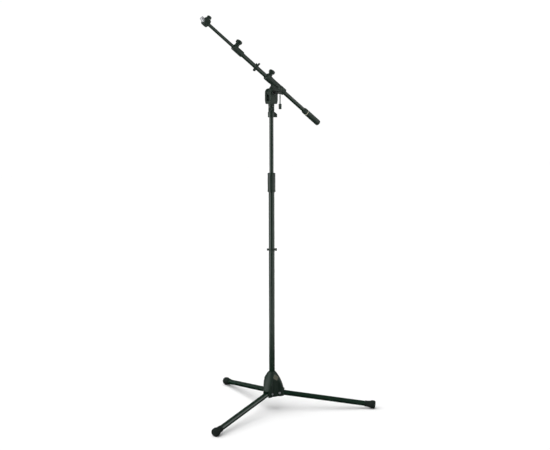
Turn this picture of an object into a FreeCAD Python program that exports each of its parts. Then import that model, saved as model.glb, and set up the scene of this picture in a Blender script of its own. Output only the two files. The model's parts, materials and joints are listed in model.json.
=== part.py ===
"""Boom microphone stand on three folding legs, drawn as separate parts in one frame.

Millimetres. +Z is up and the floor is at Z 0. The origin is the middle of the object's
box seen from above. Shapes are first drawn about the pole axis, with the boom in the XZ
plane and its microphone end toward -X, and each finished sub-part is then set in place.
"""
import FreeCAD
import Part
import Sketcher
import math
import os

doc = FreeCAD.newDocument("boom_stand")
Vector = FreeCAD.Vector
Rotation = FreeCAD.Rotation
Placement = FreeCAD.Placement

# ---------------------------------------------------------------- driving dimensions
sheet = doc.addObject("Spreadsheet::Sheet", "Dims")
DIMENSIONS = {
    # running gap between moving parts, and how far a cutting tool runs past a face
    "gap": 0.3, "over": 2.0,
    # where the pole axis stands from the middle of the object's box
    "pole_x": 11.63, "pole_y": -85.26,
    # base casting
    "base_low": 53.5, "base_top": 149.0, "lobe_reach": 48.0, "neck_r": 14.0,
    "bell_r": 152.0, "core_r": 29.8, "lobe_half": 18.2, "lobe_square": 35.0,
    "lobe_nose": 9.5, "slot_half": 10.6, "slot_in": 18.5,
    "lip_low": 77.0, "lip_tall": 7.0, "lip_out": 1.0, "lip_sink": 4.0,
    "facet_dist": 24.4, "facet_turn": -52.0, "facet_lean": 30.0,
    "label_side": 18.5, "label_thick": 0.8, "label_z": 128.5,
    # legs
    "leg_slope": 7.9, "hinge_r": 30.0, "hinge_z": 66.4, "leg_r": 10.0, "leg_wall": 1.2,
    "knuckle_len": 14.0, "plug_len": 30.0, "leg_len": 370.0, "foot_start": 337.0,
    "foot_end": 377.5, "foot_r": 15.9, "foot_neck_r": 11.8, "foot_bell": 22.0,
    "foot_pad": 15.0, "foot_edge": 5.0, "foot_flare": 0.8, "screw_r": 3.0, "head_r": 4.6, "head_round": 1.4,
    "head_tall": 2.6, "nut_tall": 3.6,
    # pole
    "lower_r": 11.1, "lower_wall": 1.2, "lower_top": 862.0, "plug_tall": 22.0,
    "guide_tall": 24.0, "spigot": 35.0,
    "upper_r": 8.0, "upper_wall": 1.2, "upper_low": 330.0, "upper_top": 1150.0,
    "grip_low": 851.0, "grip_top": 924.0, "grip_r": 15.0, "grip_end_r": 15.4,
    "grip_foot": 7.0, "grip_head": 6.0, "grip_step": 3.0, "grip_inset": 0.5,
    "collar_r": 12.5, "collar_low": 856.0, "collar_top": 884.0, "collet_top": 908.0,
    "collet_taper": 1.3,
    "clip_z": 628.7, "clip_tall": 7.6, "clip_wall": 1.8, "lip_turn": 31.0, "lip_len": 12.0,
    "pole_hook_r": 4.3, "boom_hook_r": 5.0, "top_hook_r": 5.9, "hook_wall": 1.2,
    "hook_bite": 0.7, "mouth": 5.0, "top_ring_wall": 5.2, "top_slope": 41.0,
    # swivel
    "topclip_low": 1135.0, "topclip_top": 1155.0, "nut_top": 1175.0, "nut_r": 11.5,
    "stud_r": 4.8, "stud_tall": 12.0, "fork_floor": 1196.0, "socket_r": 11.6, "pivot_z": 1228.0,
    "socket_tall": 10.0, "corner_x": 2.4, "corner_z": 3.0, "taper": 4.0,
    "cheek_half": 16.5, "cheek_in": 9.3, "cheek_out": 20.2, "ear_half": 8.2,
    "ear_r": 14.5, "disc_thick": 0.8, "disc_r": 12.5, "bolt_r": 4.0, "shank_r": 4.6,
    "bolt_past": 3.0, "clamp_nut_r": 7.5, "clamp_nut_tall": 6.0, "washer_r": 9.5,
    "washer_thick": 3.5, "eye_y": 60.5, "eye_r": 6.0, "eye_half": 5.0, "eye_band": 3.0,
    "bar_r": 2.5, "bar_cap_r": 5.7, "bar_cap_len": 20.0, "cap_floor": 4.0, "bar_len": 88.6,
    # boom
    "boom_tilt": 36.4, "boom_rise": 35.4, "tube_r": 8.0, "tube_wall": 1.2,
    "sleeve_r": 12.4, "ring_r": 13.2, "sleeve_back": 45.5, "sleeve_front": 57.0,
    "ring_len": 28.0, "ring_edge": 2.6, "back_ring_len": 24.0, "holder_knob_u": 43.6,
    "tube_back": 172.0, "tube_front": 214.0, "web_low": -5.0, "web_end": 48.0, "web_toe": 12.0,
    "clamp_back": 183.0, "clamp_front": 234.0, "clamp_r": 11.3, "front_knob_u": 222.5,
    "boss_r": 8.6, "boss_top": 20.5, "knob_low": 21.5, "knob_tall": 12.2, "knob_r": 12.3,
    "knob_screw_r": 3.0, "knob_step": 3.6, "knob_edge": 2.0, "knob_top": 5.0,
    "rod_r": 6.0, "rod_back": 60.0, "rod_guide_len": 18.0, "rod_front": 369.0,
    "tip_back": 361.0, "tip_front": 384.0, "tip_r": 15.8, "stud_end": 397.5,
    "tip_lug_r": 9.0, "tip_lug_tall": 14.0, "thread_r": 7.9, "boomclip_u": 110.0,
    "weight_collar_front": 158.0, "weight_ring": 174.0, "weight_end": 246.5,
    "weight_r": 11.6, "weight_edge": 5.0, "ring_thick": 3.0, "collar_step": 2.6, "collar_band": 11.0,
}
for row, (alias, value) in enumerate(DIMENSIONS.items(), start=1):
    sheet.set("A%d" % row, alias)
    sheet.set("B%d" % row, str(value))
    sheet.setAlias("B%d" % row, alias)
doc.recompute()
D = DIMENSIONS


# ---------------------------------------------------------------- helpers
def bind(thing, **sizes):
    """Bind the properties of an object to expressions of the sheet."""
    for name, text in sizes.items():
        thing.setExpression(name, expand(text))
    return thing


def expand(text):
    """Write the sheet's name before every alias of an expression."""
    word = ""
    out = ""
    for letter in str(text) + " ":
        if letter.isalnum() or letter == "_":
            word += letter
            continue
        out += "Dims." + word if word in DIMENSIONS else word
        out += letter
        word = ""
    return out.strip()


def outline(sketch, points):
    """Draw a closed outline; a point is (x, y) or (x, y, radius) for an arc to the next."""
    def number(text):
        value = sketch.evalExpression(expand(text))
        return float(getattr(value, "Value", value))

    spots = [(number(p[0]), number(p[1])) for p in points]
    ends = []
    for i, point in enumerate(points):
        a = Vector(spots[i][0], spots[i][1], 0)
        b = Vector(*spots[(i + 1) % len(points)], 0)
        if len(point) == 2:
            sketch.addGeometry(Part.LineSegment(a, b), False)
            ends.append((1, 2))
            continue
        radius = number(point[2])
        half = (b - a) * 0.5
        side = Vector(-half.y, half.x, 0).normalize()
        reach = math.sqrt(radius * radius - half.Length ** 2)
        centre = a + half + side * math.copysign(reach, radius)
        turn = radius > 0
        first, last = (a, b) if turn else (b, a)
        start = math.atan2(first.y - centre.y, first.x - centre.x)
        stop = math.atan2(last.y - centre.y, last.x - centre.x)
        circle = Part.Circle(centre, Vector(0, 0, 1), abs(radius))
        sketch.addGeometry(Part.ArcOfCircle(circle, start, stop), False)
        ends.append((1, 2) if turn else (2, 1))
        sketch.addConstraint(Sketcher.Constraint("Radius", i, abs(radius)))
        sketch.setExpression("Constraints[%d]" % (sketch.ConstraintCount - 1),
                             "abs(%s)" % expand(point[2]))
    for i, point in enumerate(points):
        following = (i + 1) % len(points)
        joined = Sketcher.Constraint("Coincident", i, ends[i][1], following, ends[following][0])
        sketch.addConstraint(joined)
        for axis, kind, text in ((-2, "DistanceX", point[0]), (-1, "DistanceY", point[1])):
            if str(text) == "0":
                rule = Sketcher.Constraint("PointOnObject", i, ends[i][0], axis)
                sketch.addConstraint(rule)
                continue
            rule = Sketcher.Constraint(kind, -1, 1, i, ends[i][0], number(text))
            sketch.addConstraint(rule)
            sketch.setExpression("Constraints[%d]" % (sketch.ConstraintCount - 1), expand(text))


def plane(body, role):
    """Return one of a body's own origin planes."""
    return [f for f in body.Origin.OriginFeatures if f.Role == role][0]


def turned(name, points, place=None):
    """A body of revolution about its own Z axis."""
    body = doc.addObject("PartDesign::Body", name)
    sketch = body.newObject("Sketcher::SketchObject", name + "_profile")
    sketch.AttachmentSupport = [(plane(body, "XZ_Plane"), "")]
    sketch.MapMode = "FlatFace"
    outline(sketch, points)
    turn = body.newObject("PartDesign::Revolution", name + "_turn")
    turn.Profile = sketch
    turn.ReferenceAxis = (sketch, ["V_Axis"])
    turn.Angle = 360.0
    sketch.Visibility = False
    body.Placement = place or Placement()
    return body


def tube(name, inner, outer, low, high, place=None):
    """A straight tube between two stations of its own Z axis."""
    return turned(name, [(inner, low), (outer, low), (outer, high), (inner, high)], place)


def rod(name, radius, low, high, place=None):
    """A straight solid rod between two stations of its own Z axis."""
    return turned(name, [("0", low), (radius, low), (radius, high), ("0", high)], place)


def slab(name, points, half, place=None):
    """A flat plate: an outline in its own XZ plane, thickened equally to both sides."""
    sketch = doc.addObject("Sketcher::SketchObject", name + "_outline")
    sketch.Placement = Placement(Vector(), Rotation(Vector(1, 0, 0), 90))
    outline(sketch, points)
    sketch.Visibility = False
    plate = doc.addObject("Part::Extrusion", name)
    plate.Base = sketch
    plate.DirMode = "Normal"
    plate.Solid = True
    plate.Symmetric = True
    bind(plate, LengthFwd="2 * (%s)" % half)
    plate.Placement = place or Placement()
    return plate


def prism(name, points, tall, place=None):
    """An upright solid: an outline in its own XY plane, raised along its Z."""
    sketch = doc.addObject("Sketcher::SketchObject", name + "_outline")
    outline(sketch, points)
    sketch.Visibility = False
    solid = doc.addObject("Part::Extrusion", name)
    solid.Base = sketch
    solid.DirMode = "Normal"
    solid.Solid = True
    bind(solid, LengthFwd=tall)
    solid.Placement = place or Placement()
    return solid


def cross(name, radius, half, at, axis="Y"):
    """A cylinder lying across a part, centred on a point, along one of the axes."""
    rod_shape = doc.addObject("Part::Cylinder", name)
    bind(rod_shape, Radius=radius, Height="2 * (%s)" % half)
    length = number_of("2 * (%s)" % half)
    turns = {"Y": Rotation(Vector(1, 0, 0), -90), "Z": Rotation(), "X": Rotation(Vector(0, 1, 0), 90)}
    turn = turns[axis]
    rod_shape.Placement = Placement(at - turn.multVec(Vector(0, 0, length / 2)), turn)
    return rod_shape


def block(name, long, wide, tall, place):
    """A box whose corner of least X, Y and Z stands at the given place."""
    solid = doc.addObject("Part::Box", name)
    bind(solid, Length=long, Width=wide, Height=tall)
    solid.Placement = place
    return solid


def number_of(text):
    """Value of an expression of the sheet."""
    value = sheet.evalExpression(expand(text).replace("Dims.", ""))
    return float(getattr(value, "Value", value))


def joined(name, parts):
    """Several solids made one."""
    whole = doc.addObject("Part::MultiFuse", name)
    whole.Shapes = parts
    whole.Refine = True
    return whole


def cut(name, base, tools):
    """A solid with others taken away."""
    tool = tools[0] if len(tools) == 1 else joined(name + "_tools", tools)
    rest = doc.addObject("Part::Cut", name)
    rest.Base = base
    rest.Tool = tool
    rest.Refine = True
    return rest


NODES = []
STAND = Placement(Vector(D["pole_x"], D["pole_y"], 0), Rotation())


def node(thing, label):
    """Set a finished sub-part in place, name it and put it on the list to write out."""
    thing.Placement = STAND.multiply(thing.Placement)
    thing.Label = label
    NODES.append(thing)
    return thing


# ---------------------------------------------------------------- shared places
LEG_TURNS = {"right": -33.5, "rear": 86.5, "front": 206.5}
tilt = math.radians(D["boom_tilt"])
pivot = Vector(0, 0, D["pivot_z"])
boom_up = Vector(math.sin(tilt), 0, math.cos(tilt))
boom_out = Vector(-math.cos(tilt), 0, math.sin(tilt))
boom_turn = Rotation(Vector(0, 1, 0), D["boom_tilt"] - 90.0)
BOOM = Placement(pivot + boom_up * D["boom_rise"], boom_turn)


def leg_place(turn):
    """Leg frame: origin on the hinge, Z along the leg to the foot, Y along the hinge."""
    outward = Rotation(Vector(0, 0, 1), turn)
    lean = Rotation(Vector(0, 1, 0), 90.0 + D["leg_slope"])
    hinge = outward.multVec(Vector(D["hinge_r"], 0, D["hinge_z"]))
    return Placement(hinge, outward.multiply(lean))


# ---------------------------------------------------------------- base casting
def base():
    bell = turned("bell", [
        ("lower_r", "base_low"), ("lobe_reach", "base_low", "bell_r"), ("neck_r", "base_top"),
        ("lower_r", "base_top")])
    lip = turned("lip", [
        ("lobe_reach - lip_sink", "lip_low"), ("lobe_reach + lip_out", "lip_low"),
        ("lobe_reach + lip_out", "lip_low + lip_tall / 2"),
        ("lobe_reach - lip_sink", "lip_low + lip_tall")])
    core = rod("core", "core_r", "base_low - over", "base_top + over")
    lobes = [core]
    slots = []
    for side, turn in LEG_TURNS.items():
        spin = Rotation(Vector(0, 0, 1), turn)
        lobes.append(prism("lobe_" + side, [
            ("0", "-lobe_half"), ("lobe_square", "-lobe_half"),
            ("lobe_reach + over", "-lobe_nose"), ("lobe_reach + over", "lobe_nose"),
            ("lobe_square", "lobe_half"), ("0", "lobe_half")], "base_top + over",
            Placement(Vector(), spin)))
        low = spin.multVec(Vector(D["slot_in"], -D["slot_half"], D["base_low"] - D["over"]))
        slots.append(block("slot_" + side, "lobe_reach", "2 * slot_half",
                           "hinge_z - base_low + over", Placement(low, spin)))
        hinge = spin.multVec(Vector(D["hinge_r"], 0, D["hinge_z"]))
        across = spin.multiply(Rotation(Vector(1, 0, 0), -90))
        for tag, radius, half in (("pocket_", "hinge_r - slot_in", "slot_half"),
                                  ("hole_", "screw_r", "lobe_half + over")):
            round_cut = doc.addObject("Part::Cylinder", tag + side)
            bind(round_cut, Radius=radius, Height="2 * (%s)" % half)
            back = across.multVec(Vector(0, 0, -number_of(half)))
            round_cut.Placement = Placement(hinge + back, across)
            slots.append(round_cut)
        place = leg_place(turn)
        corner = place.multVec(Vector(-D["leg_r"] - D["gap"], -D["slot_half"], 0))
        slots.append(block("roof_" + side, "leg_r", "2 * slot_half", "lobe_reach",
                           Placement(corner, place.Rotation)))
    shell = joined("bell_lip", [bell, lip])
    form = doc.addObject("Part::MultiCommon", "bell_lobes")
    form.Shapes = [shell, joined("lobe_set", lobes)]
    facet = label_place(D["facet_dist"])
    start = facet.multVec(Vector(-1.5 * D["label_side"], -1.5 * D["label_side"], 0))
    slots.append(block("facet", "3 * label_side", "3 * label_side", "label_side",
                       Placement(start, facet.Rotation)))
    node(cut("base_body", form, slots), "base_casting")


def label_place(distance):
    """Flat seat of the label: Z leaves the casting, tipped back with the bell's side."""
    spin = Rotation(Vector(0, 0, 1), LEG_TURNS["right"] + D["facet_turn"])
    lean = Rotation(Vector(0, 1, 0), 90.0 - D["facet_lean"])
    seat = spin.multVec(Vector(distance, 0, D["label_z"]))
    return Placement(seat, spin.multiply(lean))


def label():
    seat = label_place(D["facet_dist"])
    quarter = seat.Rotation.multiply(Rotation(Vector(0, 0, 1), 45))
    corner = seat.Base + quarter.multVec(Vector(-D["label_side"] / 2, -D["label_side"] / 2, 0))
    plate = block("label_plate", "label_side", "label_side", "label_thick",
                  Placement(corner, quarter))
    node(plate, "base_label")


# ---------------------------------------------------------------- legs
def legs():
    corner = Vector(-2 * D["leg_len"], -2 * D["leg_len"], -D["foot_r"])
    floor = block("floor_cut", "4 * leg_len", "4 * leg_len", "foot_r",
                  Placement(corner, Rotation()))
    for side, turn in LEG_TURNS.items():
        place = leg_place(turn)
        node(tube("tube_" + side, "leg_r - leg_wall", "leg_r", "knuckle_len", "leg_len", place),
             "leg_%s_tube" % side)
        knuckle = turned("knuckle_form_" + side, [
            ("0", "-leg_r", "leg_r"), ("leg_r", "0"), ("leg_r", "knuckle_len"),
            ("leg_r - leg_wall", "knuckle_len"), ("leg_r - leg_wall", "knuckle_len + plug_len"),
            ("0", "knuckle_len + plug_len")], place)
        hole = doc.addObject("Part::Cylinder", "knuckle_hole_" + side)
        bind(hole, Radius="screw_r + gap", Height="2 * (slot_half + over)")
        across = place.Rotation.multiply(Rotation(Vector(1, 0, 0), -90))
        back = across.multVec(Vector(0, 0, -D["slot_half"] - D["over"]))
        hole.Placement = Placement(place.Base + back, across)
        node(cut("knuckle_" + side, knuckle, [hole]), "leg_%s_knuckle" % side)
        foot = turned("foot_form_" + side, [
            ("leg_r", "foot_start"), ("foot_neck_r", "foot_start"),
            ("foot_neck_r + foot_flare", "foot_end - foot_bell"), ("foot_r", "foot_end - foot_pad"),
            ("foot_r", "foot_end - foot_edge", "foot_edge"), ("foot_r - foot_edge", "foot_end"),
            ("0", "foot_end"),
            ("0", "leg_len"), ("leg_r", "leg_len")], place)
        node(cut("foot_" + side, foot, [floor]), "leg_%s_foot" % side)
        spin = Rotation(Vector(0, 0, 1), turn)
        hinge = spin.multVec(Vector(D["hinge_r"], 0, D["hinge_z"]))
        crosswise = Placement(hinge, spin.multiply(Rotation(Vector(1, 0, 0), 90)))
        node(turned("screw_" + side, [
            ("0", "-lobe_half - nut_tall"), ("screw_r", "-lobe_half - nut_tall"),
            ("screw_r", "lobe_half"), ("head_r", "lobe_half"),
            ("head_r", "lobe_half + head_tall / 2"), ("head_r - head_round", "lobe_half + head_tall"),
            ("0", "lobe_half + head_tall")], crosswise), "leg_%s_hinge_screw" % side)
        node(tube("nut_" + side, "screw_r", "head_r", "-lobe_half - nut_tall", "-lobe_half",
                  crosswise), "leg_%s_hinge_nut" % side)


# ---------------------------------------------------------------- pole
def pole():
    node(tube("lower_tube", "lower_r - lower_wall", "lower_r", "base_low", "lower_top"),
         "lower_tube")
    node(rod("pole_plug", "lower_r - lower_wall", "base_low", "base_low + plug_tall"),
         "pole_plug")
    node(turned("clutch_collar", [
        ("lower_r", "collar_low"), ("collar_r", "collar_low"), ("collar_r", "collar_top"),
        ("lower_r", "collar_top")]), "clutch_collar")
    node(turned("clutch_collet", [
        ("upper_r + gap", "lower_top"), ("lower_r", "lower_top"), ("lower_r", "collar_top"),
        ("lower_r - collet_taper", "collet_top"), ("upper_r + gap", "collet_top")]),
        "clutch_collet")
    node(turned("clutch_grip", [
        ("lower_r + gap", "grip_low"), ("grip_end_r", "grip_low"),
        ("grip_end_r", "grip_low + grip_foot"), ("grip_r", "grip_low + grip_foot + grip_step"),
        ("grip_r", "grip_top - grip_head - over"),
        ("grip_end_r - grip_inset", "grip_top - grip_head"),
        ("grip_end_r - grip_inset", "grip_top - over"), ("grip_end_r - over", "grip_top"),
        ("upper_r + 2 * gap", "grip_top"), ("upper_r + 2 * gap", "collet_top + over"),
        ("lower_r - collet_taper + 2 * gap", "collet_top + over"),
        ("collar_r + gap", "collar_top + over"), ("collar_r + gap", "collar_low - 1"),
        ("lower_r + gap", "collar_low - 1")]), "clutch_grip")
    node(tube("upper_tube", "upper_r - upper_wall", "upper_r", "upper_low", "upper_top"),
         "upper_tube")
    node(turned("upper_guide", [
        ("upper_r", "upper_low"), ("lower_r - lower_wall - gap", "upper_low"),
        ("lower_r - lower_wall - gap", "upper_low + guide_tall"),
        ("upper_r", "upper_low + guide_tall")]),
        "upper_tube_guide")
    node(turned("top_stud", [
        ("0", "upper_top - spigot"), ("upper_r - upper_wall", "upper_top - spigot"),
        ("upper_r - upper_wall", "upper_top"), ("upper_r", "upper_top"),
        ("upper_r", "topclip_top"), ("stud_r", "topclip_top"), ("stud_r", "nut_top + stud_tall"),
        ("0", "nut_top + stud_tall")]), "top_stud")
    node(turned("lock_nut", [
        ("stud_r", "topclip_top"), ("nut_r - 1", "topclip_top"),
        ("nut_r", "topclip_top + 1.5"), ("nut_r", "nut_top - 2"),
        ("nut_r - 1", "nut_top - gap"), ("stud_r", "nut_top - gap")]), "swivel_lock_nut")


def clips():
    """Cable clips of the two tubes and of the top of the pole."""
    toward = Rotation(Vector(0, 0, 1), LEG_TURNS["right"])
    snap_clip("pole", "(lower_r + 0.05)", "pole_hook_r",
              Placement(Vector(0, 0, D["clip_z"] - D["clip_tall"] / 2), toward))
    station = Placement(Vector(0, 0, D["boomclip_u"] - D["clip_tall"] / 2), Rotation())
    snap_clip("boom", "(tube_r + 0.05)", "boom_hook_r", BOOM.multiply(station))
    top_clip(Placement(Vector(0, 0, D["topclip_low"]), toward))


def hook(name, wall, radius, tall, turn):
    """An open hook beside a ring of a given outside radius: its post, and what to cut from it."""
    centre = number_of("%s + %s - hook_wall - hook_bite" % (wall, radius))
    at = turn.multVec(Vector(centre, 0, 0))
    post = rod(name + "_hook", radius, "0", tall, Placement(at, turn))
    hollow = rod(name + "_hollow", "%s - hook_wall" % radius, "-over", tall + " + over",
                 Placement(at, turn))
    corner = at + turn.multVec(Vector(0, -D["mouth"] / 2, -D["over"]))
    mouth = block(name + "_mouth", "2 * " + radius, "mouth", tall + " + 2 * over",
                  Placement(corner, turn))
    return post, [hollow, mouth]


def snap_clip(name, radius, hook_radius, place):
    """Spring ring with two flared lips toward its X and a cable hook on the other side."""
    wall = "(%s + clip_wall)" % radius
    ring = rod(name + "_ring", wall, "0", "clip_tall")
    bore = rod(name + "_bore", radius, "-over", "clip_tall + over")
    gap_at = "lip_len * cos(lip_turn * 1 deg)"
    gap_half = "lip_len * sin(lip_turn * 1 deg)"
    gate = prism(name + "_gate", [("0", "0"), (gap_at, "-" + gap_half), (gap_at, gap_half)],
                 "clip_tall")
    parts = [cut(name + "_open_ring", ring, [gate])]
    for side in (-1, 1):
        turn = Rotation(Vector(0, 0, 1), side * D["lip_turn"])
        root = turn.multVec(Vector(number_of(radius), -D["clip_wall"] / 2, 0))
        parts.append(block("%s_lip_%d" % (name, side + 1), "lip_len", "clip_wall", "clip_tall",
                           Placement(root, turn)))
    post, tools = hook(name, wall, hook_radius, "clip_tall", Rotation(Vector(0, 0, 1), 180))
    whole = cut(name + "_clip_form", joined(name + "_clip_parts", parts + [post]), [bore] + tools)
    whole.Placement = place
    node(whole, name + "_cable_clip")


def top_clip(place):
    """Closed ring under the lock nut with a tall hook toward its X, sloped on top."""
    tall = "(topclip_top - topclip_low)"
    wall = "(upper_r + top_ring_wall)"
    ring = rod("top_ring", wall, "0", tall)
    bore = rod("top_bore", "upper_r", "-over", tall + " + over")
    post, tools = hook("top", wall, "top_hook_r", tall, Rotation())
    web = block("top_web", "top_ring_wall + hook_wall", "2 * top_ring_wall", tall,
                Placement(Vector(D["upper_r"], -D["top_ring_wall"], 0), Rotation()))
    lean = Rotation(Vector(0, 1, 0), D["top_slope"])
    start = Vector(number_of(wall), -2 * D["top_hook_r"], number_of(tall))
    slope = block("top_slope_cut", "6 * top_hook_r", "4 * top_hook_r", "4 * top_hook_r",
                  Placement(start, lean))
    whole = cut("top_clip_form", joined("top_clip_parts", [ring, post, web]),
                [bore, slope] + tools)
    whole.Placement = place
    node(whole, "top_cable_clip")


# ---------------------------------------------------------------- swivel
def swivel():
    socket = turned("socket", [
        ("stud_r + gap", "nut_top"), ("socket_r", "nut_top"), ("socket_r", "fork_floor - over"),
        ("stud_r + gap", "fork_floor - over")])
    bridge = slab("bridge", [
        ("-cheek_half + corner_x", "nut_top + socket_tall"),
        ("cheek_half - corner_x", "nut_top + socket_tall"),
        ("cheek_half", "nut_top + socket_tall + corner_z"), ("cheek_half", "fork_floor"),
        ("-cheek_half", "fork_floor"),
        ("-cheek_half", "nut_top + socket_tall + corner_z")], "cheek_out")
    cheeks = slab("cheeks", [
        ("-cheek_half", "fork_floor - over"), ("cheek_half", "fork_floor - over"),
        ("cheek_half", "pivot_z", "cheek_half + 0.001"),
        ("0", "pivot_z + cheek_half", "cheek_half + 0.001"), ("-cheek_half", "pivot_z")],
        "cheek_out")
    slot = doc.addObject("Part::Box", "fork_slot")
    bind(slot, Length="4 * cheek_half", Width="2 * cheek_in", Height="4 * cheek_half")
    slot.Placement = Placement(Vector(-2 * D["cheek_half"], -D["cheek_in"], D["fork_floor"]),
                               Rotation())
    bolt_hole = cross("bolt_hole", "bolt_r + gap", "cheek_out + over", pivot)
    stud_hole = rod("stud_hole", "stud_r + gap", "nut_top - over", "nut_top + stud_tall + over")
    draft = slab("fork_draft", [
        ("-cheek_out + taper", "nut_top - over"), ("cheek_out - taper", "nut_top - over"),
        ("cheek_out - taper", "nut_top + socket_tall"), ("cheek_out", "fork_floor + taper"),
        ("cheek_out", "pivot_z + 2 * cheek_half"), ("-cheek_out", "pivot_z + 2 * cheek_half"),
        ("-cheek_out", "fork_floor + taper"), ("-cheek_out + taper", "nut_top + socket_tall")],
        "2 * cheek_half", Placement(Vector(), Rotation(Vector(0, 0, 1), 90)))
    solid = doc.addObject("Part::MultiCommon", "fork_solid")
    solid.Shapes = [joined("fork_rough", [socket, bridge, cheeks]), draft]
    node(cut("fork", solid, [slot, bolt_hole, stud_hole]), "swivel_fork")

    across = Placement(pivot, Rotation(Vector(1, 0, 0), 90))
    node(turned("clamp_bolt", [
        ("0", "-cheek_out - bolt_past"), ("bolt_r", "-cheek_out - bolt_past"),
        ("bolt_r", "cheek_out + gap"),
        ("shank_r", "cheek_out + gap"), ("shank_r", "eye_y - eye_half"),
        ("0", "eye_y - eye_half")], across), "clamp_bolt")
    node(tube("clamp_washer", "shank_r", "washer_r", "cheek_out + gap",
              "cheek_out + gap + washer_thick", across), "clamp_washer")
    eye_at = pivot + Vector(0, -D["eye_y"], 0)
    eye = turned("eye_form", [
        ("0", "eye_y - eye_half"), ("eye_r - head_round", "eye_y - eye_half"),
        ("eye_r", "eye_y - eye_band"), ("eye_r", "eye_y + eye_band"),
        ("eye_r - head_round", "eye_y + eye_half"), ("0", "eye_y + eye_half")], across)
    node(cut("eye", eye, [cross("eye_hole", "bar_r + gap", "eye_r + over", eye_at, "Z")]),
         "clamp_bolt_eye")
    node(tube("clamp_nut", "bolt_r + gap", "clamp_nut_r", "-cheek_out - clamp_nut_tall",
              "-cheek_out", across), "clamp_nut")

    hang = Placement(eye_at, Rotation())
    node(rod("bar", "bar_r", "eye_r + bar_cap_len + cap_floor - bar_len",
             "eye_r + gap + bar_cap_len - cap_floor", hang), "tommy_bar")
    above = eye_at + Vector(0, 0, D["eye_r"] + D["gap"])
    below = eye_at + Vector(0, 0, D["eye_r"] + 2 * D["bar_cap_len"] - D["bar_len"])
    bar_cap("upper", Placement(above, Rotation()))
    bar_cap("lower", Placement(below, Rotation(Vector(1, 0, 0), 180)))


def bar_cap(name, place):
    """Cap of the sliding bar; the bar enters at its origin and Z leaves toward its tip."""
    node(turned("bar_cap_" + name, [
        ("bar_r", "0"), ("bar_cap_r - 0.8", "0"), ("bar_cap_r", "1"),
        ("bar_cap_r", "bar_cap_len - 1"), ("bar_cap_r - 1", "bar_cap_len"),
        ("0", "bar_cap_len"), ("0", "bar_cap_len - cap_floor"),
        ("bar_r", "bar_cap_len - cap_floor")], place), "tommy_bar_cap_" + name)


# ---------------------------------------------------------------- boom
def knob(name, station, reach):
    """Clamp knob with its screw, standing across the boom and stopping at a radius."""
    stand = upright(station)
    node(turned(name + "_cap", [
        ("knob_screw_r", "knob_low"), ("knob_r - knob_step", "knob_low"),
        ("knob_r - knob_step", "knob_low + 2"), ("knob_r", "knob_low + 3.5"),
        ("knob_r", "knob_low + knob_tall - knob_edge", "knob_edge"),
        ("knob_r - knob_edge", "knob_low + knob_tall"), ("0", "knob_low + knob_tall"),
        ("0", "knob_low + knob_tall - knob_top"),
        ("knob_screw_r", "knob_low + knob_tall - knob_top")], stand), name)
    node(rod(name + "_shaft", "knob_screw_r", reach, "knob_low + knob_tall - knob_top", stand),
         name + "_screw")


def upright(station, height=0.0):
    """Frame standing on the boom's axis, its Z square to the boom and upward."""
    at = BOOM.multVec(Vector(height, 0, station))
    return Placement(at, BOOM.Rotation.multiply(Rotation(Vector(0, 1, 0), 90)))


def stub(name, radius, tall, station, height):
    """A cylinder standing across the boom from a height above its axis."""
    post = doc.addObject("Part::Cylinder", name)
    bind(post, Radius=radius, Height=tall)
    post.Placement = upright(station, height)
    return post


def level_spot(x, z):
    """Boom-frame X and Z of a point given level, measured from the pivot."""
    s, c = math.sin(tilt), math.cos(tilt)
    return ("%.3f" % (x * s + z * c - D["boom_rise"]), "%.3f" % (z * s - x * c))


def holder():
    sleeve = tube("sleeve", "tube_r + gap", "sleeve_r", "-sleeve_back", "sleeve_front - over",
                  BOOM)
    front = turned("front_ring", [
        ("tube_r + gap", "sleeve_front - ring_len"), ("ring_r", "sleeve_front - ring_len"),
        ("ring_r", "sleeve_front - ring_edge"), ("ring_r - ring_edge", "sleeve_front"),
        ("tube_r + gap", "sleeve_front")], BOOM)
    back = turned("back_ring", [
        ("tube_r + gap", "-sleeve_back"), ("ring_r - ring_edge / 2", "-sleeve_back"),
        ("ring_r", "-sleeve_back + ring_edge / 2"), ("ring_r", "-sleeve_back + back_ring_len"),
        ("tube_r + gap", "-sleeve_back + back_ring_len")], BOOM)
    web = slab("web", [
        level_spot(-D["web_toe"], 6), level_spot(-8, 14), level_spot(2, 26), ("-9", "16"),
        ("-9", "-sleeve_back"), level_spot(D["web_end"], D["web_low"]),
        level_spot(D["web_toe"], D["web_low"])], "ear_half", BOOM)
    ear = cross("ear", "ear_r", "ear_half", pivot)
    boss = stub("holder_boss", "boss_r", "boss_top - tube_r - 1", D["holder_knob_u"],
                D["tube_r"] + 1)
    bore = rod("holder_bore", "tube_r + gap", "-sleeve_back - over", "sleeve_front + over", BOOM)
    bolt = cross("ear_hole", "bolt_r + gap", "ear_half + over", pivot)
    tap = stub("holder_tap", "knob_screw_r + gap", "knob_low", D["holder_knob_u"], 0)
    solid = joined("holder_solid", [sleeve, front, back, web, ear, boss])
    node(cut("holder", solid, [bore, bolt, tap]), "boom_holder")
    across = Placement(pivot, Rotation(Vector(1, 0, 0), 90))
    node(tube("disc_near", "bolt_r + gap", "disc_r", "ear_half", "ear_half + disc_thick", across),
         "friction_disc_near")
    node(tube("disc_far", "bolt_r + gap", "disc_r", "-ear_half - disc_thick", "-ear_half", across),
         "friction_disc_far")
    knob("holder_knob", D["holder_knob_u"], "tube_r + gap")


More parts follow.
